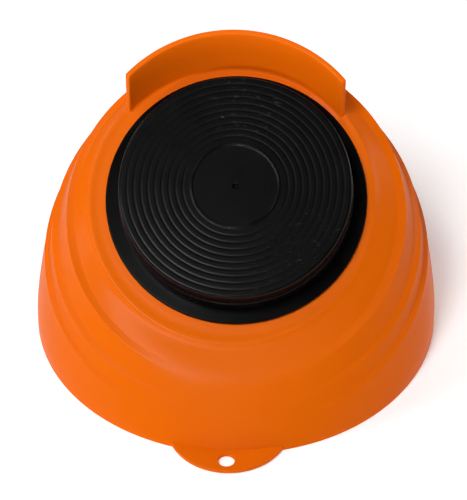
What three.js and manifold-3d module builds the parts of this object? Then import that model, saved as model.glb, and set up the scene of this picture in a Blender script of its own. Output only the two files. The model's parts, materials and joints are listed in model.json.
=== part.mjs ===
// Dome insect trap with an inclined black vent cap, a curved rain guard and a hang tab.
// Millimetres, +Z up. The trap stands on Z = 0, its hang tab points to -Y, and the origin is the
// middle of its footprint. Everything is symmetrical about the plane X = 0, except that the ridge
// round the inclined face and the guard on it stand a little to the left of the face's opening.

import * as THREE from 'three';
import { mergeVertices } from 'three/addons/utils/BufferGeometryUtils.js';
import Module from 'manifold-3d';

const wasm = await Module();
wasm.setup();

// ---------------------------------------------------------------- driving dimensions

const GAP = 0.3;                 // clearance between pieces that touch
const WALL = 2;                  // moulded wall of the dome
const RIM_RADIUS = 75;           // open lower rim, a circle on the ground
const RIDGE_SHIFT = -1.5;        // the face's ridge and its guard, along X

// The dome is lofted through tilted hoops, from the rim up to the face's ridge. Each hoop is an
// ellipse, given by the X of its middle, its half width, and its front and back points as [y, z].
// drop is how far the inner skin's hoop lies below the outer one. step is how deep the stair above
// a hoop cuts into the skin.
const HOOPS = [
  { middle: 0, half: RIM_RADIUS, front: [-75, 0], back: [75, 0], drop: 0, step: 0 },
  { middle: 0, half: 74.7, front: [-73.5, 2.2], back: [75, 16], drop: 0, step: 0 },
  { middle: 0, half: 71, front: [-69.7, 7.2], back: [73, 53], drop: 0.2, step: 0.9 },
  { middle: 0, half: 68, front: [-65.2, 12.5], back: [68.5, 64], drop: 0.4, step: 1.1 },
  { middle: 0, half: 62, front: [-58.4, 19.4], back: [58, 78.5], drop: 0.8, step: 1.2 },
  { middle: RIDGE_SHIFT, half: 52.3, front: [-46.1, 26.7], back: [47.7, 82.2], drop: 1.2, step: 0 },
];
const LEDGE = 0.2;               // share of the way from a hoop to the next one up that its ledge takes
const STAIR_FADE = [0.06, 0.45]; // the stairs fade out at the front, between these shares of a half turn

const FACE = { tilt: THREE.MathUtils.degToRad(30.6), height: 56.2, edge: 49.5, seat: -1.6 };
const COLLAR = { bore: 34.6, neck: 36.4, flange: 47.7, thick: 1.3, above: 8.6, below: 14 };
const CAP = { radius: 42.2, height: 13.6, skirt: 2.2, top: 2, edge: 1.6, vent: 0.9 };
const GUARD = { inner: 50.8, thick: 2, half: THREE.MathUtils.degToRad(50.1), height: 16.4, root: 1.6 };
const TAB = { radius: 22.1, centre: -62.6, thick: 1.4, holeY: -79.4, holeRadius: 2.9 };

const SOCKET = { inner: 11.5, outer: 13, length: 6 };
const BASKET = { inner: 9.6, outer: 11.2, top: 11, bottom: -14, windows: 6 };
const PAN = { radius: 72.6, taper: 1.7, thick: 1.6, entry: 16.5, wall: 61.6, wallThick: 1.6, height: 8 };
const FUNNEL = { foot: 26, base: 17.6, mouth: 9, wall: 1.4, height: 20 };

const OPENING = COLLAR.neck + GAP;                       // hole in the inclined face
const FRONT_REACH = TAB.radius - TAB.centre;             // from the rim's centre to the tab's tip
const FOOTPRINT_SHIFT = (FRONT_REACH - RIM_RADIUS) / 2;  // puts the footprint's middle at Y = 0

const ORANGE = new THREE.MeshStandardMaterial({ color: 0xec6a1c, roughness: 0.42, metalness: 0 });
const BLACK = new THREE.MeshStandardMaterial({ color: 0x17181a, roughness: 0.4, metalness: 0 });
const RUBBER = new THREE.MeshStandardMaterial({ color: 0x2b2b2b, roughness: 0.8, metalness: 0 });
const LURE = new THREE.MeshStandardMaterial({ color: 0xa9472f, roughness: 0.85, metalness: 0 });
const NATURAL = new THREE.MeshStandardMaterial({ color: 0xe8e4d8, roughness: 0.55, metalness: 0 });
const FELT = new THREE.MeshStandardMaterial({ color: 0x28282a, roughness: 0.95, metalness: 0 });
const CARD = new THREE.MeshStandardMaterial({ color: 0xe9dfb6, roughness: 0.7, metalness: 0 });

// ---------------------------------------------------------------- helpers

// A closed solid from a grid of points, closed on itself both ways: rings[i][j].
function closedGrid(rings) {
  const across = rings[0].length;
  const points = rings.flat().flatMap((p) => [p.x, p.y, p.z]);
  const faces = [];
  rings.forEach((ring, i) => {
    const here = i * across;
    const next = ((i + 1) % rings.length) * across;
    for (let j = 0; j < across; j++) {
      const k = (j + 1) % across;
      faces.push(here + j, next + j, next + k, here + j, next + k, here + k);
    }
  });
  const geometry = new THREE.BufferGeometry();
  geometry.setAttribute('position', new THREE.Float32BufferAttribute(points, 3));
  geometry.setIndex(faces);
  return geometry;
}

// A solid of revolution about +Z from a closed outline of [radius, height] points.
function turned(outline, segments) {
  const points = [...outline, outline[0]].map(([r, h]) => new THREE.Vector2(r, h));
  const geometry = new THREE.LatheGeometry(points, segments);
  return geometry.rotateX(Math.PI / 2);
}

// A ring of rectangular section about +Z.
function ring(inner, outer, low, high, segments) {
  return turned([[inner, low], [outer, low], [outer, high], [inner, high]], segments);
}

function toSolid(geometry) {
  const bare = geometry.clone();
  bare.deleteAttribute('normal');
  bare.deleteAttribute('uv');
  const merged = mergeVertices(bare, 1e-4);
  return new wasm.Manifold(new wasm.Mesh({
    numProp: 3,
    vertProperties: merged.attributes.position.array,
    triVerts: new Uint32Array(merged.index.array),
  }));
}

function toGeometry(solid) {
  const { vertProperties, triVerts } = solid.getMesh();
  const geometry = new THREE.BufferGeometry();
  geometry.setAttribute('position', new THREE.BufferAttribute(vertProperties, 3));
  geometry.setIndex(new THREE.BufferAttribute(triVerts, 1));
  geometry.computeVertexNormals();
  return geometry;
}

function named(name, geometry, material) {
  const mesh = new THREE.Mesh(geometry, material);
  mesh.name = name;
  return mesh;
}

// A point of the inclined face's own frame (x, up the slope, along its normal), in the dome's frame.
function onFace(x, up, out) {
  return new THREE.Vector3(x, up, out)
    .applyAxisAngle(new THREE.Vector3(1, 0, 0), FACE.tilt)
    .add(new THREE.Vector3(0, 0, FACE.height));
}

// ---------------------------------------------------------------- dome

// A point of a hoop at an angle from +X, moved inwards by inset and down by drop.
function hoopPoint(hoop, angle, inset = 0, drop = 0) {
  const [fy, fz] = hoop.front;
  const [by, bz] = hoop.back;
  const reach = Math.hypot(by - fy, bz - fz) / 2;
  const along = (1 + (Math.sin(angle) * (reach - inset)) / reach) / 2;
  return new THREE.Vector3(
    hoop.middle + Math.cos(angle) * (hoop.half - inset),
    fy + (by - fy) * along,
    fz + (bz - fz) * along - drop,
  );
}

// 0 at the front of the dome, where it is smooth, and 1 at its sides and back.
function stairShare(angle) {
  const fromFront = Math.acos(Math.cos(angle + Math.PI / 2)) / Math.PI;
  return THREE.MathUtils.smoothstep(fromFront, ...STAIR_FADE);
}

// One skin's meridian: a smooth curve through the hoops. Above each stepped hoop it turns inwards
// over a narrow ledge and then runs straight out to the next hoop.
function meridian(angle, inset, dropScale) {
  const knots = HOOPS.map((h) => hoopPoint(h, angle, inset, h.drop * dropScale));
  const curve = new THREE.CatmullRomCurve3(knots, false, 'centripetal');
  const inward = new THREE.Vector3(-Math.cos(angle), -Math.sin(angle), -0.6).normalize();
  const spans = knots.length - 1;
  const points = [];
  for (let span = 0; span < spans; span++) {
    for (const share of [0, LEDGE, (1 + LEDGE) / 2]) {
      const cut = share < LEDGE ? share / LEDGE : (1 - share) / (1 - LEDGE);
      const depth = HOOPS[span].step * stairShare(angle) * cut;
      points.push(curve.getPoint((span + share) / spans).addScaledVector(inward, depth));
    }
  }
  points.push(knots[spans]);
  return points;
}

function domeSkin(around = 60) {
  const rings = [];
  for (let i = 0; i < around; i++) {
    const angle = (i / around) * 2 * Math.PI;
    const c = Math.cos(angle);
    const s = Math.sin(angle);
    const seat = (radius, out) => onFace(radius * c, radius * s, out);
    rings.push([
      ...meridian(angle, 0, 0),
      seat(FACE.edge, FACE.seat),
      seat(OPENING, FACE.seat),
      seat(OPENING, FACE.seat - WALL),
      seat(FACE.edge - WALL, FACE.seat - WALL),
      ...meridian(angle, WALL, 1).reverse(),
    ]);
  }
  return closedGrid(rings);
}

// The guard: a wall along an arc of the inclined face, behind the cap. It stands upright, and its
// top runs parallel to the face.
function guardWall(steps = 14) {
  const { inner, thick, half, height, root } = GUARD;
  const shape = new THREE.Shape();
  const middle = Math.PI / 2;
  shape.absarc(0, 0, inner + thick, middle - half, middle + half, false);
  shape.absarc(0, 0, inner, middle + half, middle - half, true);
  const wall = new THREE.ExtrudeGeometry(shape, { depth: 1, bevelEnabled: false, curveSegments: steps });
  const place = wall.attributes.position;
  for (let i = 0; i < place.count; i++) {
    const foot = onFace(place.getX(i) + RIDGE_SHIFT, place.getY(i), FACE.seat);
    const share = place.getZ(i);
    place.setXYZ(i, foot.x, foot.y, foot.z - root + share * (height + root));
  }
  return wall;
}

// An upright round disc or plug, standing on Z = low.
function upright(radius, x, y, low, high, segments) {
  const disc = new THREE.CylinderGeometry(radius, radius, high - low, segments);
  return disc.rotateX(Math.PI / 2).translate(x, y, (low + high) / 2);
}

// The hang tab: a round plate in the ground plane, cut off where it is rooted in the rim.
function hangTab() {
  const plate = toSolid(upright(TAB.radius, 0, TAB.centre, 0, TAB.thick, 48));
  const inside = toSolid(upright(RIM_RADIUS - WALL / 2, 0, 0, -1, TAB.thick + 1, 60));
  const hole = toSolid(upright(TAB.holeRadius, 0, TAB.holeY, -1, TAB.thick + 1, 24));
  return plate.subtract(inside).subtract(hole);
}

function domeShell() {
  const solid = toSolid(domeSkin()).add(toSolid(guardWall())).add(hangTab());
  return named('dome_shell', toGeometry(solid), ORANGE);
}

// ---------------------------------------------------------------- collar and cap, in the face's frame

function capCollar() {
  const { bore, neck, flange, thick, above, below } = COLLAR;
  const outline = [
    [bore, -below], [neck, -below], [neck, -thick], [flange, -thick],
    [flange, 0], [neck, 0], [neck, above], [bore, above],
  ];
  return named('cap_collar', turned(outline, 48), BLACK);
}

function lockRing() {
  const top = FACE.seat - WALL - GAP;
  return named('collar_lock_ring', ring(OPENING, OPENING + 5, top - 4, top, 36), BLACK);
}

function capGasket() {
  const low = COLLAR.above + GAP;
  const high = CAP.height - CAP.top - GAP;
  return named('cap_gasket', ring(COLLAR.bore, CAP.radius - CAP.skirt - GAP, low, high, 36), RUBBER);
}

function ventCap() {
  const { radius, height, skirt, top, edge, vent } = CAP;
  const inside = height - top;
  const outline = [
    [vent, inside], [SOCKET.inner, inside], [SOCKET.inner, inside - SOCKET.length],
    [SOCKET.outer, inside - SOCKET.length], [SOCKET.outer, inside], [radius - skirt, inside],
    [radius - skirt, GAP], [radius, GAP], [radius, height - edge],
    [radius - edge * 0.3, height - edge * 0.3], [radius - edge, height], [vent, height],
  ];
  return named('vent_cap', turned(outline, 48), BLACK);
}

function ventMembrane() {
  const high = CAP.height - CAP.top - GAP;
  return named('vent_membrane', upright(5, 0, 0, high - 0.6, high, 24), FELT);
}

// ---------------------------------------------------------------- lure and its basket

function lureBasket() {
  const { inner, outer, top, bottom, windows } = BASKET;
  let solid = toSolid(ring(inner, outer, bottom, top, 24));
  for (let i = 0; i < windows / 2; i++) {
    const slot = new THREE.BoxGeometry(5.5, 2 * outer + 2, 14);
    slot.translate(0, 0, bottom + 3 + 7).rotateZ((i / windows) * 2 * Math.PI);
    solid = solid.subtract(toSolid(slot));
  }
  return named('lure_basket', toGeometry(solid), NATURAL);
}

function basketBase() {
  const plug = BASKET.inner - GAP;
  const floor = BASKET.bottom - GAP;
  const outline = [
    [0, floor - 1.6], [BASKET.outer, floor - 1.6], [BASKET.outer, floor],
    [plug, floor], [plug, floor + 3], [plug - 1.4, floor + 3], [plug - 1.4, floor], [0, floor],
  ];
  return named('basket_base', turned(outline, 24), NATURAL);
}

// A sleeve stopper of rubber that holds the attractant, hollow from its wide end.
function pheromoneLure() {
  const foot = BASKET.bottom + GAP;
  const outline = [
    [0, foot], [3.6, foot], [4.1, foot + 11], [6.2, foot + 12], [6.4, foot + 18],
    [3.4, foot + 18], [3, foot + 8], [0, foot + 8],
  ];
  return named('pheromone_lure', turned(outline, 18), LURE);
}

// ---------------------------------------------------------------- base

function basePan() {
  const { radius, taper, thick, entry, wall, wallThick, height } = PAN;
  const outline = [
    [entry, 0], [radius, 0], [radius - taper, thick], [wall, thick],
    [wall, height], [wall - wallThick, height], [wall - wallThick, thick], [entry, thick],
  ];
  return named('base_pan', turned(outline, 48), BLACK);
}

function entryFunnel() {
  const { foot, base, mouth, wall, height } = FUNNEL;
  const low = PAN.thick + GAP;
  const outline = [
    [base - wall, low], [foot, low], [foot, low + 1.2], [base, low + 1.2],
    [mouth + wall, height], [mouth, height],
  ];
  return named('entry_funnel', turned(outline, 30), BLACK);
}

function stickyLiner() {
  const low = PAN.thick + GAP;
  const outer = PAN.wall - PAN.wallThick - 1;
  return named('sticky_liner', ring(FUNNEL.foot + 1, outer, low, low + 0.7, 36), CARD);
}

// ---------------------------------------------------------------- assembly

const face = new THREE.Group();
face.rotation.x = FACE.tilt;
face.position.z = FACE.height;
face.add(capCollar(), lockRing(), capGasket(), ventCap(), ventMembrane());
face.add(lureBasket(), basketBase(), pheromoneLure());

const trap = new THREE.Group();
trap.position.y = FOOTPRINT_SHIFT;
trap.add(domeShell(), face, basePan(), entryFunnel(), stickyLiner());

const part = new THREE.Group();
part.add(trap);

export default part;
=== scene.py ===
"""Looks of the dome insect trap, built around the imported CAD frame.

Metres, +Z up, the hang tab towards -Y. Pieces are drawn in millimetres in one of two places: the
dome's place, whose origin is the rim circle's centre on the ground, or the face's place, whose
origin is the middle of the inclined face and whose +Z is the face's normal.
"""

import json
import math

import bmesh
import bpy
import numpy as np
from mathutils import Matrix, Vector


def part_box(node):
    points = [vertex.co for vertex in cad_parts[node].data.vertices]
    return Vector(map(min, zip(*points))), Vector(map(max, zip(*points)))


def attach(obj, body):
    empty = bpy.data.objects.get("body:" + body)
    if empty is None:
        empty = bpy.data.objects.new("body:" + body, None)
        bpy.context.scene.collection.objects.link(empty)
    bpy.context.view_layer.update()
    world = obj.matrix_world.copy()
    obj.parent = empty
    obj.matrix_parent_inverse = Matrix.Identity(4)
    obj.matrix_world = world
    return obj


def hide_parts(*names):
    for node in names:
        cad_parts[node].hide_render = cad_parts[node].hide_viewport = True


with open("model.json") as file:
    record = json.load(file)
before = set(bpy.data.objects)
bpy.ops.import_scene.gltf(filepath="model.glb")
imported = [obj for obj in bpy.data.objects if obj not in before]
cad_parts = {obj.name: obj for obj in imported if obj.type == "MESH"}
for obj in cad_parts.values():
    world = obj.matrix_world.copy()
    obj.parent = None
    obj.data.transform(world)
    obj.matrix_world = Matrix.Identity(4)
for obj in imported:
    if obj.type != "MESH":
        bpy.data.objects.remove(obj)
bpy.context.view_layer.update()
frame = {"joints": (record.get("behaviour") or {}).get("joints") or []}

# ------------------------------------------------------------------ places, from the frame

MM = 0.001
# The cap turns about the middle of the inclined face.
CAP_TURN = next(joint for joint in frame["joints"] if joint["name"] == "cap_turn")
FACE_CENTRE = Vector(CAP_TURN["pos_m"])
FACE_NORMAL = Vector(CAP_TURN["axis"]).normalized()
FACE_RIGHT = Vector((1, 0, 0))
FACE_UP = FACE_NORMAL.cross(FACE_RIGHT)
FACE_TURN = Matrix((FACE_RIGHT, FACE_UP, FACE_NORMAL)).transposed()
RIM_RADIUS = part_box("dome_shell")[1].x / MM
RIM_CENTRE = Vector((0, FACE_CENTRE.y, 0))

DOME_PLACE = Matrix.Translation(RIM_CENTRE)
FACE_PLACE = Matrix.Translation(FACE_CENTRE) @ FACE_TURN.to_4x4()
FACE_IN_DOME = DOME_PLACE.inverted() @ FACE_PLACE

# ------------------------------------------------------------------ driving sizes, millimetres

WALL = 2.0
# Left free between pieces that meet.
GAP = 0.3

# In the face's place. The collar's flange lies on the dome's face, which is flat from its opening
# round the collar's neck out to its edge.
COLLAR = dict(bore=34.6, neck=36.4, flange=47.7, thick=1.3, above=8.6, below=14)
FACE_SEAT = -COLLAR["thick"] - GAP
FACE_OPENING = COLLAR["neck"] + GAP
FACE_EDGE = 49.5
LOCK_RING = dict(width=5, thick=4, scallops=20, scallop_depth=0.9)

# The ridge round the face, and the guard on it, lie this far from the dome's middle along X.
RIDGE_SHIFT = -1.5
# The dome's hoops from the rim up to the face's ridge: middle along X, half width, front point and
# back point as (y, z), how far the inner skin's hoop lies below the outer one, and how deep the
# stair above the hoop cuts in.
HOOPS = [
    dict(middle=0, half=RIM_RADIUS, front=(-75, 0), back=(75, 0), drop=0, step=0),
    dict(middle=0, half=74.7, front=(-73.5, 2.2), back=(75, 16), drop=0, step=0),
    dict(middle=0, half=71, front=(-69.7, 7.2), back=(73, 53), drop=0.2, step=0.9),
    dict(middle=0, half=68, front=(-65.2, 12.5), back=(68.5, 64), drop=0.4, step=1.1),
    dict(middle=0, half=62, front=(-58.4, 19.4), back=(58, 78.5), drop=0.8, step=1.2),
    dict(middle=RIDGE_SHIFT, half=52.3, front=(-46.1, 26.7), back=(47.7, 82.2), drop=1.2, step=0),
]
# A stair is deepest at this share of the way to the next hoop, and cuts downwards by this share
# of its cut inwards. Stairs fade in between two shares of the way from the front to the back.
LEDGE = 0.2
STAIR_DIP = 0.6
STAIR_FADE = (0.06, 0.45)
# Round beads along the stairs' edges and the ridge, and how far each fades out below and above it.
STAIR_BEAD = dict(height=0.3, below=1.4, above=0.9)
RIDGE = dict(height=0.5, below=1.2, above=2.2)

GUARD = dict(inner=50.8, thick=2, half_angle=math.radians(50.1), height=16.4, root=1.6)
TAB = dict(radius=22.1, centre=-62.6, thick=1.4, hole_y=-79.4, hole_radius=2.9)
CAP = dict(radius=42.2, height=13.6, skirt=2.2, top=2, vent=0.9)
# Under the cap's top, round the lure basket.
SOCKET = dict(inner=11.5, outer=13, length=6)
# On the cap's top, narrow ring grooves, and a thin bead inside them.
GROOVES = dict(count=9, outermost=40.4, pitch=2.52, depth=0.05)
BEAD = dict(radius=15.8, height=0.26, width=0.3)
MEMBRANE = dict(radius=5, thick=0.6)
BASKET = dict(inner=9.6, outer=11.2, top=11, bottom=-14, windows=6)
LURE = dict(foot=3.6, neck=4.1, head=6.4, well=3.4, body=11, height=18, well_floor=8)
PAN = dict(radius=72.6, taper=1.7, thick=1.6, entry=16.5, wall=61.6, wall_thick=1.6, height=8)
FUNNEL = dict(foot=26, base=17.6, mouth=9, wall=1.4, height=20)


# ------------------------------------------------------------------ mesh helpers


def smoothstep(value, low, high):
    share = np.clip((value - low) / (high - low), 0, 1)
    return share * share * (3 - 2 * share)


def mesh_object(name, points, faces, place):
    """An object whose points are given in millimetres in a place."""
    mesh = bpy.data.meshes.new(name)
    mesh.from_pydata(np.asarray(points) * MM, [], faces)
    mesh.update()
    piece = bpy.data.objects.new(name, mesh)
    piece.matrix_world = place
    bpy.context.scene.collection.objects.link(piece)
    return piece


def grid_faces(rows, across, closed_rows=True):
    """Quads of a grid of points, closed across, and closed along its rows if asked."""
    faces = []
    for i in range(rows if closed_rows else rows - 1):
        here, following = i * across, (i + 1) % rows * across
        for j in range(across):
            k = (j + 1) % across
            faces.append((here + j, following + j, following + k, here + k))
    return faces


def tidy(piece, sharp=35):
    """Merges points that meet, turns all faces outwards and shades the mesh smooth."""
    work = bmesh.new()
    work.from_mesh(piece.data)
    bmesh.ops.remove_doubles(work, verts=work.verts, dist=1e-6)
    bmesh.ops.dissolve_degenerate(work, edges=work.edges, dist=1e-7)
    bmesh.ops.recalc_face_normals(work, faces=work.faces)
    work.to_mesh(piece.data)
    work.free()
    piece.data.polygons.foreach_set("use_smooth", [True] * len(piece.data.polygons))
    piece.data.set_sharp_from_angle(angle=math.radians(sharp))
    piece.data.update()
    return piece


def rounded(outline, radius=0.4, steps=4, most=0.45):
    """A closed outline of (r, h) points with its corners eased, except on the axis.

    A corner takes up at most a share, most, of the side before it and of the side after it.
    """
    points = [np.array(p, float) for p in outline]
    eased = []
    for i, corner in enumerate(points):
        back = points[i - 1] - corner
        ahead = points[(i + 1) % len(points)] - corner
        reach = min(radius, most * np.linalg.norm(back), most * np.linalg.norm(ahead))
        if corner[0] < 1e-6 or reach < 1e-3:
            eased.append(corner)
            continue
        start = corner + back / np.linalg.norm(back) * reach
        end = corner + ahead / np.linalg.norm(ahead) * reach
        for t in np.linspace(0, 1, steps + 1):
            eased.append((1 - t) ** 2 * start + 2 * t * (1 - t) * corner + t * t * end)
    return eased


def turned(name, outline, place, segments=128):
    """A solid of revolution about its place's +Z from a closed outline of (r, h) points."""
    outline = np.array(outline)
    angles = np.linspace(0, 2 * math.pi, segments, endpoint=False)
    points = np.empty((segments, len(outline), 3))
    points[..., 0] = np.cos(angles)[:, None] * outline[:, 0]
    points[..., 1] = np.sin(angles)[:, None] * outline[:, 0]
    points[..., 2] = outline[:, 1]
    return tidy(mesh_object(name, points.reshape(-1, 3), grid_faces(segments, len(outline)), place))


def combine(piece, others, operation):
    """Joins or cuts a piece with others, which are used up."""
    for other in others:
        step = piece.modifiers.new("combine", "BOOLEAN")
        step.operation = operation
        step.solver = "EXACT"
        step.object = other
    bpy.context.view_layer.update()
    evaluated = piece.evaluated_get(bpy.context.evaluated_depsgraph_get())
    result = bpy.data.meshes.new_from_object(evaluated)
    piece.modifiers.clear()
    piece.data = result
    for other in others:
        bpy.data.objects.remove(other)
    return tidy(piece)


# ------------------------------------------------------------------ materials


class Paint:
    """A procedural material on a Principled shader, with small helpers to wire it."""

    def __init__(self, name, roughness, **settings):
        self.material = bpy.data.materials.new(name)
        self.material.use_nodes = True
        self.nodes = self.material.node_tree.nodes
        self.links = self.material.node_tree.links
        self.shader = self.nodes["Principled BSDF"]
        self.shader.inputs["Roughness"].default_value = roughness
        for socket, value in settings.items():
            self.shader.inputs[socket].default_value = value
        self.where = self.nodes.new("ShaderNodeTexCoord").outputs["Object"]
        self.normal = None

    def noise(self, scale, detail=2, roughness=0.5, stretch=None, distortion=0):
        """Noise in the piece's own metres, stretched along its axes if asked."""
        texture = self.nodes.new("ShaderNodeTexNoise")
        texture.inputs["Scale"].default_value = scale
        texture.inputs["Detail"].default_value = detail
        texture.inputs["Roughness"].default_value = roughness
        texture.inputs["Distortion"].default_value = distortion
        where = self.where
        if stretch:
            mapping = self.nodes.new("ShaderNodeMapping")
            mapping.inputs["Scale"].default_value = stretch
            self.links.new(where, mapping.inputs["Vector"])
            where = mapping.outputs["Vector"]
        self.links.new(where, texture.inputs["Vector"])
        return texture.outputs["Fac"]

    def remap(self, value, low, high, to_low=0.0, to_high=1.0):
        """Takes a value from one range to another, and holds it there."""
        node = self.nodes.new("ShaderNodeMapRange")
        ends = {"From Min": low, "From Max": high, "To Min": to_low, "To Max": to_high}
        for socket, number in ends.items():
            node.inputs[socket].default_value = number
        self.links.new(value, node.inputs["Value"])
        return node.outputs["Result"]

    def maths(self, operation, first, second):
        """A sum, product or the like of two outputs."""
        node = self.nodes.new("ShaderNodeMath")
        node.operation = operation
        self.links.new(first, node.inputs[0])
        self.links.new(second, node.inputs[1])
        return node.outputs["Value"]

    def mix(self, share, first, second):
        """A colour that goes from the first to the second as a share goes from 0 to 1."""
        node = self.nodes.new("ShaderNodeMix")
        node.data_type = "RGBA"
        self.links.new(share, node.inputs["Factor"])
        for name, value in (("A", first), ("B", second)):
            socket = [s for s in node.inputs if s.name == name and s.type == "RGBA"][0]
            socket.default_value = (*value, 1)
        return [s for s in node.outputs if s.type == "RGBA"][0]

    def colour(self, output):
        self.links.new(output, self.shader.inputs["Base Color"])

    def roughness(self, output):
        self.links.new(output, self.shader.inputs["Roughness"])

    def bump(self, output, distance):
        """Adds a bump of that many metres to those already there."""
        node = self.nodes.new("ShaderNodeBump")
        node.inputs["Distance"].default_value = distance
        self.links.new(output, node.inputs["Height"])
        if self.normal:
            self.links.new(self.normal, node.inputs["Normal"])
        self.normal = node.outputs["Normal"]
        self.links.new(self.normal, self.shader.inputs["Normal"])


def orange_moulding():
    """Satin polypropylene: faint colour drift, a very fine mould grain and slight sink marks."""
    gloss = {"Specular IOR Level": 0.05, "Coat Weight": 0.04, "Coat Roughness": 0.2}
    paint = Paint("orange_moulding", 0.4, **gloss)
    drift = paint.noise(18, detail=3)
    paint.colour(paint.mix(drift, (0.82, 0.136, 0.001), (0.88, 0.15, 0.002)))
    paint.roughness(paint.remap(paint.noise(70, detail=4), 0.3, 0.7, 0.36, 0.44))
    paint.bump(paint.noise(2600, detail=1), 0.00001)
    paint.bump(paint.noise(30, detail=1), 0.00012)
    return paint.material


def black_cap():
    """The cap's satin black, with dust in patches and short scuffs."""
    gloss = {"Specular IOR Level": 0.05, "Coat Weight": 0.12, "Coat Roughness": 0.18}
    paint = Paint("black_cap", 0.3, **gloss)
    patches = paint.remap(paint.noise(45, detail=3), 0.52, 0.72)
    specks = paint.remap(paint.noise(1500, detail=3, roughness=0.7), 0.6, 0.75)
    dust = paint.maths("MULTIPLY", patches, specks)
    scuffs = paint.remap(paint.noise(320, detail=4, stretch=(1, 3.5, 1), distortion=0.6), 0.64, 0.74)
    scuffed = paint.maths("MULTIPLY", scuffs, paint.remap(paint.noise(35, detail=1), 0.56, 0.7))
    marks = paint.maths("MAXIMUM", dust, scuffed)
    paint.colour(paint.mix(marks, (0.003, 0.003, 0.0032), (0.04, 0.04, 0.041)))
    paint.roughness(paint.remap(paint.noise(120, detail=4), 0.3, 0.7, 0.26, 0.34))
    paint.bump(paint.noise(2200, detail=2), 0.000012)
    return paint.material


def black_moulding():
    """Satin black polypropylene of the collar, lock ring, pan and funnel."""
    gloss = {"Specular IOR Level": 0.02, "Coat Weight": 0.04, "Coat Roughness": 0.14}
    paint = Paint("black_moulding", 0.24, **gloss)
    patches = paint.remap(paint.noise(60, detail=4), 0.45, 0.75)
    paint.colour(paint.mix(patches, (0.0028, 0.0028, 0.003), (0.005, 0.005, 0.005)))
    paint.roughness(paint.remap(paint.noise(90, detail=4), 0.3, 0.7, 0.2, 0.28))
    paint.bump(paint.noise(2000, detail=2), 0.000015)
    return paint.material


def gasket_rubber():
    """Matt black rubber with fine pores."""
    paint = Paint("gasket_rubber", 0.8)
    pores = paint.noise(900, detail=3)
    paint.colour(paint.mix(pores, (0.018, 0.018, 0.018), (0.035, 0.034, 0.033)))
    paint.bump(pores, 0.00008)
    return paint.material


def lure_rubber():
    """Red-brown septum rubber with a chalky bloom."""
    paint = Paint("lure_rubber", 0.75)
    bloom = paint.remap(paint.noise(260, detail=5), 0.35, 0.75)
    paint.colour(paint.mix(bloom, (0.30, 0.045, 0.022), (0.46, 0.14, 0.09)))
    paint.bump(paint.noise(1400, detail=3), 0.00004)
    return paint.material


def natural_plastic():
    """Milky uncoloured polyethylene."""
    paint = Paint("natural_plastic", 0.45, **{"Subsurface Weight": 0.35, "Subsurface Scale": 0.003})
    clouds = paint.noise(90, detail=4)
    paint.colour(paint.mix(clouds, (0.72, 0.70, 0.62), (0.82, 0.80, 0.74)))
    paint.roughness(paint.remap(paint.noise(150, detail=3), 0.3, 0.7, 0.36, 0.52))
    paint.bump(paint.noise(1200, detail=2), 0.00002)
    return paint.material


def membrane_felt():
    """Dark breathable felt with short tangled fibres."""
    paint = Paint("membrane_felt", 0.95, **{"Specular IOR Level": 0.1})
    fibres = paint.noise(1800, detail=4, distortion=1.5)
    paint.colour(paint.mix(fibres, (0.005, 0.005, 0.0055), (0.012, 0.012, 0.0125)))
    paint.bump(fibres, 0.0001)
    return paint.material


def sticky_card():
    """Cream coated card under a wavy film of glue."""
    paint = Paint("sticky_card", 0.18, **{"Coat Weight": 0.7, "Coat Roughness": 0.08})
    fibres = paint.noise(700, detail=5, stretch=(1, 5, 1))
    paint.colour(paint.mix(fibres, (0.70, 0.58, 0.26), (0.82, 0.72, 0.40)))
    glue = paint.noise(140, detail=3, distortion=1.2)
    paint.roughness(paint.remap(glue, 0.3, 0.7, 0.08, 0.4))
    paint.bump(glue, 0.0005)
    return paint.material


# ------------------------------------------------------------------ dome shell: its two skins


def hoop_points(hoop, angles, inset, drop):
    """A hoop's points at angles from +X, moved inwards by inset and down by drop."""
    front, back = np.array(hoop["front"], float), np.array(hoop["back"], float)
    reach = np.linalg.norm(back - front) / 2
    along = (1 + np.sin(angles) * (reach - inset) / reach) / 2
    yz = front + (back - front) * along[:, None]
    x = hoop["middle"] + np.cos(angles) * (hoop["half"] - inset)
    return np.column_stack([x, yz[:, 0], yz[:, 1] - drop])


def face_points(radius, angles, out):
    """A circle about the face's normal, in the dome's place, in millimetres."""
    ring = np.column_stack([radius * np.cos(angles), radius * np.sin(angles), np.full_like(angles, out)])
    turn = np.array(FACE_IN_DOME.to_3x3())
    return ring @ turn.T + np.array(FACE_IN_DOME.translation) / MM


def knot_gap(start, end):
    """The centripetal spacing of two knots, for every meridian at once."""
    return np.maximum(np.linalg.norm(end - start, axis=1, keepdims=True) ** 0.5, 1e-4)


def smooth_span(knots, span, share):
    """A point on the centripetal Catmull-Rom curve through knots, for every meridian at once."""
    padded = np.concatenate([[2 * knots[0] - knots[1]], knots, [2 * knots[-1] - knots[-2]]])
    p0, p1, p2, p3 = padded[span:span + 4]
    d0, d1, d2 = knot_gap(p0, p1), knot_gap(p1, p2), knot_gap(p2, p3)
    t1 = ((p1 - p0) / d0 - (p2 - p0) / (d0 + d1) + (p2 - p1) / d1) * d1
    t2 = ((p2 - p1) / d1 - (p3 - p1) / (d1 + d2) + (p3 - p2) / d2) * d1
    square = -3 * p1 + 3 * p2 - 2 * t1 - t2
    cube = 2 * p1 - 2 * p2 + t1 + t2
    return p1 + share * (t1 + share * (square + share * cube))


def eased_shares(start, end, rows):
    """Shares from start up to end, end left out, close together at both ends."""
    turn = np.linspace(0, math.pi, rows + 1)[:-1]
    return start + (end - start) * (0.5 - 0.5 * np.cos(turn))


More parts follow.
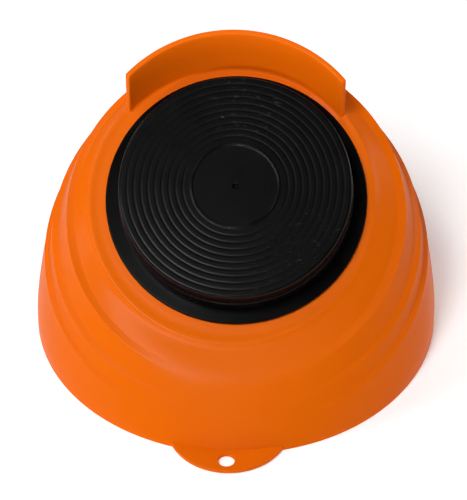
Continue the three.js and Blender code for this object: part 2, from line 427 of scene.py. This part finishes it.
def raised(lines, row, bead, strength, direction):
    """Raises a round bead along one row of a skin, which fades out below and above it."""
    steps = np.linalg.norm(np.diff(lines, axis=0), axis=2)
    along = np.concatenate([np.zeros((1, steps.shape[1])), np.cumsum(steps, axis=0)])
    distance = along - along[row]
    share = np.exp(-(distance / np.where(distance < 0, bead["below"], bead["above"])) ** 2)
    return lines + (share * (bead["height"] * strength))[..., None] * direction


def skin(angles, rows, outer):
    """The dome's outer or inner skin as [along, around, 3], from the rim to the edge of the face."""
    inset = 0 if outer else WALL
    knots = np.array([hoop_points(hoop, angles, inset, 0 if outer else hoop["drop"]) for hoop in HOOPS])
    from_front = np.arccos(np.clip(np.cos(angles + math.pi / 2), -1, 1)) / math.pi
    stairs = smoothstep(from_front, *STAIR_FADE)
    inward = np.column_stack([-np.cos(angles), -np.sin(angles), np.full_like(angles, -STAIR_DIP)])
    inward /= np.linalg.norm(inward, axis=1, keepdims=True)
    shares = np.concatenate([eased_shares(0, LEDGE, rows // 2), eased_shares(LEDGE, 1, rows)])
    lines, hoop_rows = [], []
    for span, hoop in enumerate(HOOPS[:-1]):
        # Where the stairs are, the wall between two hoops is straight and cut in above the lower one.
        flat = stairs[:, None] if hoop["step"] else 0
        hoop_rows.append(len(lines))
        for share in shares:
            curved = smooth_span(knots, span, share)
            straight = knots[span] * (1 - share) + knots[span + 1] * share
            cut = share / LEDGE if share < LEDGE else (1 - share) / (1 - LEDGE)
            stair = inward * stairs[:, None] * hoop["step"] * cut
            lines.append(curved * (1 - flat) + straight * flat + stair)
    hoop_rows.append(len(lines))
    edge = face_points(FACE_EDGE - inset, angles, FACE_SEAT - inset)
    lines += [knots[-1] + share * (edge - knots[-1]) for share in np.linspace(0, 1, rows)]
    lines = np.array(lines)
    if outer:
        for row, hoop in zip(hoop_rows, HOOPS):
            if hoop["step"]:
                lines = raised(lines, row, STAIR_BEAD, stairs, -inward)
        face_normal = np.array(FACE_IN_DOME.col[2])[:3]
        lines = raised(lines, hoop_rows[-1], RIDGE, 1, face_normal)
    # One pass of smoothing along the meridians takes the hardness off the stairs' edges.
    lines[1:-1] = 0.25 * lines[:-2] + 0.5 * lines[1:-1] + 0.25 * lines[2:]
    return lines


def dome_skin(around=320, ease=0.4):
    """Both skins, joined by the rim's underside and by the eased lip of the collar's opening."""
    angles = np.linspace(0, 2 * math.pi, around, endpoint=False)
    outer = skin(angles, rows=16, outer=True)
    inner = skin(angles, rows=6, outer=False)[::-1]
    # The flat face's rings at 46, 42 and 40 only keep its quads short.
    plate = [face_points(r, angles, FACE_SEAT) for r in (46, 40, FACE_OPENING + ease)]
    lip = [face_points(FACE_OPENING, angles, FACE_SEAT - d) for d in (ease, WALL - ease)]
    under = [face_points(r, angles, FACE_SEAT - WALL) for r in (FACE_OPENING + ease, 42)]
    rings = np.concatenate([outer, plate, lip, under, inner])
    points = rings.transpose(1, 0, 2).reshape(-1, 3)
    return tidy(mesh_object("dome_shell_fine", points, grid_faces(around, len(rings)), DOME_PLACE))


# ------------------------------------------------------------------ dome shell: guard and hang tab


def eased_end(distance, radius):
    """How far a round end of that radius falls short, at a distance from the end."""
    near = np.clip(radius - distance, 0, radius)
    return radius - math.sqrt(max(radius * radius - near * near, 0))


def guard_section(height, half_thick, edge=0.45, fillet=0.8, sunk=0.05):
    """The guard's closed section as (across, up) points.

    Its top has round edges, and its inner foot meets the face in a fillet, sunk a little into it.
    """
    quarter = np.linspace(0, math.pi / 2, 6)
    foot = [(-half_thick - fillet * (1 - math.sin(a)), fillet * (1 - math.cos(a)) - sunk) for a in quarter]
    rise = np.linspace(fillet + 0.5, height - edge, 12)
    inner = [(-half_thick, up) for up in rise]
    crown = [(-half_thick + edge * (1 - math.cos(a)), height - edge * (1 - math.sin(a))) for a in quarter]
    outer = [(half_thick, up) for up in (*rise[::-1], 0)]
    return [(-half_thick - fillet, -GUARD["root"]), *foot, *inner, *crown,
            *[(-across, up) for across, up in crown[::-1]], *outer, (half_thick, -GUARD["root"])]


def guard_wall(corner=1.0, end=0.6):
    """The rain guard: an upright wall along an arc of the face, its top parallel to the face.

    Corner rounds its top where the wall ends, and end rounds its thickness there.
    """
    middle = GUARD["inner"] + GUARD["thick"] / 2
    length = GUARD["half_angle"] * middle
    near = corner * (1 - np.cos(np.linspace(0, math.pi / 2, 12)))
    between = np.linspace(-length + corner, length - corner, 90)[1:-1]
    stations = np.concatenate([-length + near, between, (length - near)[::-1]])
    seat = FACE_IN_DOME @ Vector((0, 0, FACE_SEAT * MM)) / MM
    rings = []
    for station in stations:
        from_end = length - abs(station)
        height = GUARD["height"] - eased_end(from_end, corner)
        half_thick = GUARD["thick"] / 2 - eased_end(from_end, end)
        across, up = np.array(guard_section(height, half_thick)).T
        angle = station / middle
        slope = (middle + across) * math.cos(angle)
        rings.append(np.column_stack([RIDGE_SHIFT + (middle + across) * math.sin(angle),
                                      seat.y + slope * FACE_UP.y, seat.z + slope * FACE_UP.z + up]))
    count = len(rings[0])
    last = (len(rings) - 1) * count
    faces = grid_faces(len(rings), count, closed_rows=False)
    faces += [tuple(range(count)), tuple(range(last, last + count))[::-1]]
    return tidy(mesh_object("guard_wall", np.concatenate(rings), faces, DOME_PLACE))


def circle_distance(start, direction, centre_y, radius):
    """Distance from (0, start) along a direction to the far side of a circle centred on X = 0."""
    offset = start - centre_y
    half = direction[1] * offset
    return -half + math.sqrt(max(half * half - (offset * offset - radius * radius), 0))


def hang_tab(around=160, edge=0.35):
    """The tab: a plate with eased edges, drawn outwards from its hole to its outline."""
    root = RIM_RADIUS - WALL / 2
    thick, hole_y = TAB["thick"], TAB["hole_y"]
    quarter = np.linspace(0, math.pi / 2, 5)
    rings = []
    for turn in np.linspace(0, 2 * math.pi, around, endpoint=False):
        direction = (math.cos(turn), math.sin(turn))
        reach = circle_distance(hole_y, direction, TAB["centre"], TAB["radius"])
        # Towards the dome the plate stops inside the dome's wall.
        along = hole_y * direction[1]
        inside = along * along - (hole_y ** 2 - root * root)
        if direction[1] > 0 and inside > 0:
            reach = min(reach, -along - math.sqrt(inside))
        hole = [(TAB["hole_radius"] + edge * (1 - math.cos(a)), thick - edge * (1 - math.sin(a)))
                for a in quarter]
        rim = [(reach - edge * (1 - math.sin(a)), thick - edge * (1 - math.cos(a))) for a in quarter]
        top = hole + rim
        section = top + [(r, thick - h) for r, h in reversed(top)]
        rings.append([(direction[0] * r, hole_y + direction[1] * r, h) for r, h in section])
    points = np.array(rings).reshape(-1, 3)
    return tidy(mesh_object("hang_tab", points, grid_faces(around, len(rings[0])), DOME_PLACE))


def dome_shell():
    """The dome with its guard and its hang tab, in one piece."""
    return combine(dome_skin(), [guard_wall(), hang_tab()], "UNION")


# ------------------------------------------------------------------ collar and cap


def cap_collar():
    """The neck that the cap stands on, with the flange that lies on the face."""
    bore, neck, flange = COLLAR["bore"], COLLAR["neck"], COLLAR["flange"]
    thick, above, below = COLLAR["thick"], COLLAR["above"], COLLAR["below"]
    outline = [
        (bore, -below), (neck, -below), (neck, -thick), (flange, -thick),
        (flange, 0), (neck, 0), (neck, above), (bore, above),
    ]
    return turned("cap_collar_fine", rounded(outline, 0.5, steps=6), FACE_PLACE, segments=224)


def cap_top_height(radius):
    """Height of the cap's upper side at a radius: narrow ring grooves and a thin bead."""
    height = CAP["height"] - BEAD["height"]
    inner_edge = GROOVES["outermost"] - GROOVES["count"] * GROOVES["pitch"]
    if inner_edge < radius < GROOVES["outermost"]:
        phase = (GROOVES["outermost"] - radius) / GROOVES["pitch"]
        # The cube narrows each groove and widens the land beside it.
        height -= GROOVES["depth"] * (0.5 - 0.5 * math.cos(2 * math.pi * phase)) ** 3
    height += BEAD["height"] * math.exp(-((radius - BEAD["radius"]) / BEAD["width"]) ** 2)
    return float(height)


def vent_cap(edge=1.1, band=6.6, ledge=0.45, step=0.12, sink_width=0.4, sink_depth=0.5):
    """The cap: its skirt's lower band stands out a little, and its upper edge is rounded.

    The upper side is drawn in rings a step apart, down to the countersunk vent hole.
    """
    radius, height, skirt, vent = CAP["radius"], CAP["height"], CAP["skirt"], CAP["vent"]
    inside = height - CAP["top"]
    socket_end = inside - SOCKET["length"]
    outline = [
        (vent, inside), (SOCKET["inner"], inside), (SOCKET["inner"], socket_end),
        (SOCKET["outer"], socket_end), (SOCKET["outer"], inside), (radius - skirt, inside),
        (radius - skirt, GAP), (radius + ledge, GAP), (radius + ledge, band), (radius, band + 0.2),
        (radius, height), (vent, height),
    ]
    # The outline's own upper side only closes it while its corners are rounded.
    below = [p for p in rounded(outline, 0.3) if p[1] < inside + 0.1]
    crown = cap_top_height(radius - edge)
    corner = [(radius - edge + edge * math.cos(a), crown - edge + edge * math.sin(a))
              for a in np.linspace(0, math.pi / 2, 12)]
    top = [(r, cap_top_height(r)) for r in np.arange(radius - edge - step, vent + sink_width, -step)]
    hole = (vent, cap_top_height(0) - sink_depth)
    return turned("vent_cap_fine", [*below, *corner, *top, hole], FACE_PLACE, segments=256)


# ------------------------------------------------------------------ pieces under the face


def lock_ring(around=240):
    """The ring nut under the face, with finger scallops round its edge."""
    top = FACE_SEAT - WALL - GAP
    bottom = top - LOCK_RING["thick"]
    inner, outer = FACE_OPENING, FACE_OPENING + LOCK_RING["width"]
    middle = (inner + outer) / 2
    section = rounded([(inner, bottom), (outer, bottom), (outer, top), (inner, top)], 0.4)
    rings = []
    for turn in np.linspace(0, 2 * math.pi, around, endpoint=False):
        # The power makes the scallops rounder than a plain wave.
        cut = LOCK_RING["scallop_depth"] * max(0.0, math.cos(LOCK_RING["scallops"] * turn)) ** 0.7
        edge = [(r - cut if r > middle else r, h) for r, h in section]
        rings.append([(r * math.cos(turn), r * math.sin(turn), h) for r, h in edge])
    points = np.array(rings).reshape(-1, 3)
    return tidy(mesh_object("collar_lock_ring_fine", points, grid_faces(around, len(section)), FACE_PLACE))


def cap_gasket(groove_width=1.8, groove_floor=1, groove_depth=0.5):
    """The flat ring between the collar and the cap, with a groove in its underside."""
    low, high = COLLAR["above"] + GAP, CAP["height"] - CAP["top"] - GAP
    inner, outer = COLLAR["bore"], CAP["radius"] - CAP["skirt"] - GAP
    middle = (inner + outer) / 2
    outline = [
        (inner, low), (middle - groove_width / 2, low), (middle - groove_floor / 2, low + groove_depth),
        (middle + groove_floor / 2, low + groove_depth), (middle + groove_width / 2, low),
        (outer, low), (outer, high), (inner, high),
    ]
    return turned("cap_gasket_fine", rounded(outline, 0.35), FACE_PLACE)


def vent_membrane(rim=1, slope=0.4, dish=0.15):
    """The disc under the vent hole, its middle dished a little on the underside."""
    high = CAP["height"] - CAP["top"] - GAP
    radius, low = MEMBRANE["radius"], high - MEMBRANE["thick"]
    outline = [
        (0, low + dish), (radius - rim - slope, low + dish), (radius - rim, low), (radius, low),
        (radius, high), (0, high),
    ]
    return turned("vent_membrane_fine", rounded(outline, 0.12), FACE_PLACE, segments=64)


def slot_cutter(width, length, depth, turn, foot):
    """A bar with a round-ended slot's section, laid through the basket's axis."""
    half = width / 2
    outline = []
    for start, middle in ((0, foot + length - half), (math.pi, foot + half)):
        for a in np.linspace(start, start + math.pi, 13):
            outline.append((half * math.cos(a), middle + half * math.sin(a)))
    points = [(x * math.cos(turn) - y * math.sin(turn), x * math.sin(turn) + y * math.cos(turn), h)
              for y in (-depth, depth) for x, h in outline]
    count = len(outline)
    faces = [(i, (i + 1) % count, (i + 1) % count + count, i + count) for i in range(count)]
    faces += [tuple(range(count))[::-1], tuple(range(count, 2 * count))]
    return tidy(mesh_object("slot_cutter", points, faces, FACE_PLACE))


def lure_basket(low_band=2, high_band=7.4, slope=0.6, relief=0.35):
    """The tube that holds the lure, thinner by a relief between its two bands, with long windows."""
    inner, outer, top, bottom = (BASKET[k] for k in ("inner", "outer", "top", "bottom"))
    outline = [
        (inner, bottom), (outer, bottom), (outer, bottom + low_band),
        (outer - relief, bottom + low_band + slope), (outer - relief, top - high_band - slope),
        (outer, top - high_band), (outer, top), (inner, top),
    ]
    tube = turned("lure_basket_fine", rounded(outline, 0.3), FACE_PLACE, segments=96)
    # Each cutter goes right through, so it makes two windows.
    window = dict(width=5.5, length=14, depth=outer + 2, foot=bottom + 3)
    cutters = [slot_cutter(turn=i * 2 * math.pi / BASKET["windows"], **window)
               for i in range(BASKET["windows"] // 2)]
    return combine(tube, cutters, "DIFFERENCE")


def basket_base(disc=1.1, rim=1.6, recess=6.2, slope=0.7, plug_height=3, plug_wall=1.4):
    """The basket's floor: a disc with a ring that plugs into the tube, hollow underneath."""
    plug, floor, outer = BASKET["inner"] - GAP, BASKET["bottom"] - GAP, BASKET["outer"]
    bore, top = plug - plug_wall, floor + plug_height
    outline = [
        (0, floor - disc), (recess - slope, floor - disc), (recess, floor - rim), (outer, floor - rim),
        (outer, floor), (plug, floor), (plug, top), (bore, top), (bore, floor), (0, floor),
    ]
    return turned("basket_base_fine", rounded(outline, 0.3), FACE_PLACE, segments=96)


def pheromone_lure(shoulder=1, head_draft=0.2, well_draft=0.4):
    """The septum: a round rubber stopper with a wider head and a deep well in it."""
    low = BASKET["bottom"] + GAP
    neck, top, well_floor = low + LURE["body"], low + LURE["height"], low + LURE["well_floor"]
    outline = [
        (0, low), (LURE["foot"], low), (LURE["neck"], neck), (LURE["head"] - head_draft, neck + shoulder),
        (LURE["head"], top), (LURE["well"], top), (LURE["well"] - well_draft, well_floor), (0, well_floor),
    ]
    return turned("pheromone_lure_fine", rounded(outline, 0.7, steps=6), FACE_PLACE, segments=96)


# ------------------------------------------------------------------ base pieces


def base_pan(grooves=(24, 36, 66), groove_width=3.2, groove_floor=1.8, groove_depth=0.5):
    """The pan, with three stiffening grooves in its underside, clear of the mount's place."""
    radius, taper, thick, entry, wall, wall_thick, height = PAN.values()
    foot = [(entry, 0)]
    for middle in grooves:
        foot += [(middle - groove_width / 2, 0), (middle - groove_floor / 2, groove_depth),
                 (middle + groove_floor / 2, groove_depth), (middle + groove_width / 2, 0)]
    outline = foot + [
        (radius, 0), (radius - taper, thick), (wall, thick),
        (wall, height), (wall - wall_thick, height), (wall - wall_thick, thick), (entry, thick),
    ]
    return turned("base_pan_fine", rounded(outline, 0.4), DOME_PLACE, segments=224)


def entry_funnel(flange=1.2, bow=0.8):
    """The funnel on its flange: its wall bows a little on the way up to the mouth."""
    foot, base, mouth, wall, height = FUNNEL.values()
    low = PAN["thick"] + GAP
    start, narrowing = low + flange, mouth + wall - base
    outside = [(base + narrowing * t ** bow, start + (height - start) * t) for t in np.linspace(0, 1, 12)]
    inside = [(r - wall, h) for r, h in outside[::-1][:-1]]
    outline = [(base - wall, low), (foot, low), (foot, start), *outside, *inside]
    return turned("entry_funnel_fine", rounded(outline, 0.35), DOME_PLACE, segments=96)


def sticky_liner(thick=0.6, ripple=0.08, margin=1):
    """The ring of glued card on the pan's floor, its upper side slightly rippled."""
    low = PAN["thick"] + GAP
    inner, outer = FUNNEL["foot"] + margin, PAN["wall"] - PAN["wall_thick"] - margin
    top = [(r, low + thick + ripple * math.sin(r * 1.3) * math.sin(r * 0.37))
           for r in np.linspace(outer, inner, 40)]
    return turned("sticky_liner_fine", [(inner, low), (outer, low), *top], DOME_PLACE, segments=160)


# ------------------------------------------------------------------ stage, light and camera


def stage():
    """A wide pale floor, a hair below the ground so that it never meets the pan's underside."""
    low, far = -0.1, 3000
    points = [(-far, -far, low), (far, -far, low), (far, far, low), (-far, far, low)]
    floor = mesh_object("floor", points, [(0, 1, 2, 3)], Matrix.Identity(4))
    paint = Paint("floor_white", 0.9, **{"Emission Color": (1, 1, 1, 1), "Emission Strength": 0.27})
    paint.colour(paint.mix(paint.noise(3, detail=2), (0.95, 0.95, 0.95), (0.97, 0.97, 0.97)))
    floor.data.materials.append(paint.material)


def outwards(azimuth, elevation):
    a, e = math.radians(azimuth), math.radians(elevation)
    return Vector((math.sin(a) * math.cos(e), -math.cos(a) * math.cos(e), math.sin(e)))


def hang(light, target, away, distance=1.4):
    """Hangs a light at a distance from a target and turns it to look there."""
    lamp = bpy.data.objects.new(light.name, light)
    lamp.location = target + away * distance
    lamp.rotation_euler = (-away).to_track_quat("-Z", "Y").to_euler()
    bpy.context.scene.collection.objects.link(lamp)


def soft_box(name, azimuth, elevation, size, power):
    """A square area light that looks at the middle of the face."""
    light = bpy.data.lights.new(name, "AREA")
    light.size = size
    light.energy = power
    hang(light, FACE_CENTRE, outwards(azimuth, elevation))


def guard_spot(power, beam=6, softness=0.06):
    """A narrow spot from the front that opens up the inside of the guard."""
    light = bpy.data.lights.new("guard_spot", "SPOT")
    light.energy = power
    light.spot_size = math.radians(beam)
    light.spot_blend = 1
    light.shadow_soft_size = softness
    middle_of_guard = FACE_CENTRE + FACE_UP * 0.055 + Vector((0, 0, 0.01))
    hang(light, middle_of_guard, Vector((-0.1, -1, 0.4)).normalized())


def studio_world(strength, zenith, low=0.5, high=0.85):
    """A light tent: even white walls all round, fading to a dark ceiling above the trap."""
    world = bpy.data.worlds.new("studio")
    world.use_nodes = True
    nodes, links = world.node_tree.nodes, world.node_tree.links
    split = nodes.new("ShaderNodeSeparateXYZ")
    links.new(nodes.new("ShaderNodeTexCoord").outputs["Generated"], split.inputs["Vector"])
    fade = nodes.new("ShaderNodeMapRange")
    ends = {"From Min": low, "From Max": high, "To Min": strength, "To Max": zenith}
    for socket, number in ends.items():
        fade.inputs[socket].default_value = number
    links.new(split.outputs["Z"], fade.inputs["Value"])
    links.new(fade.outputs["Result"], nodes["Background"].inputs["Strength"])
    nodes["Background"].inputs["Color"].default_value = (1, 1, 1, 1)
    bpy.context.scene.world = world


def lights():
    studio_world(strength=0.05, zenith=0.02)
    soft_box("key", azimuth=-32, elevation=57, size=0.5, power=13.2)
    soft_box("left", azimuth=-80, elevation=28, size=0.4, power=3.4)
    soft_box("left_back", azimuth=-112, elevation=52, size=0.4, power=1.8)
    soft_box("front", azimuth=0, elevation=20, size=0.6, power=1)
    soft_box("right", azimuth=115, elevation=16, size=0.6, power=5)
    soft_box("back", azimuth=180, elevation=35, size=0.6, power=2.5)
    guard_spot(power=26)
    bpy.context.scene.view_settings.view_transform = "Standard"


def camera(azimuth=2.5, elevation=41.84, distance=0.949, right_by=-0.00095, up_by=0.0228):
    """The product view: from the front, high up, a long lens, the trap turned a little."""
    back = outwards(azimuth, elevation)
    right = Vector((math.cos(math.radians(azimuth)), math.sin(math.radians(azimuth)), 0))
    up = back.cross(right)
    lens = bpy.data.cameras.new("camera")
    lens.lens = 180
    lens.sensor_width = 36
    eye = bpy.data.objects.new("camera", lens)
    eye.matrix_world = Matrix((right, up, back)).transposed().to_4x4()
    eye.location = RIM_CENTRE + right * right_by + up * up_by + back * distance
    bpy.context.scene.collection.objects.link(eye)
    bpy.context.scene.camera = eye


# ------------------------------------------------------------------ the trap


def finish_piece(piece, material, body, node):
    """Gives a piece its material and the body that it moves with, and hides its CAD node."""
    piece.data.materials.clear()
    piece.data.materials.append(material)
    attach(piece, body)
    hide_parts(node)


camera()
lights()
stage()

orange, black, natural = orange_moulding(), black_moulding(), natural_plastic()
finish_piece(dome_shell(), orange, "dome", "dome_shell")
finish_piece(cap_collar(), black, "dome", "cap_collar")
finish_piece(vent_cap(), black_cap(), "cap", "vent_cap")

finish_piece(lock_ring(), black, "dome", "collar_lock_ring")
finish_piece(cap_gasket(), gasket_rubber(), "seal", "cap_gasket")
finish_piece(vent_membrane(), membrane_felt(), "cap", "vent_membrane")
finish_piece(lure_basket(), natural, "basket", "lure_basket")
finish_piece(basket_base(), natural, "basket_floor", "basket_base")
finish_piece(pheromone_lure(), lure_rubber(), "basket", "pheromone_lure")
finish_piece(base_pan(), black, "base", "base_pan")
finish_piece(entry_funnel(), black, "base", "entry_funnel")
finish_piece(sticky_liner(), sticky_card(), "base", "sticky_liner")
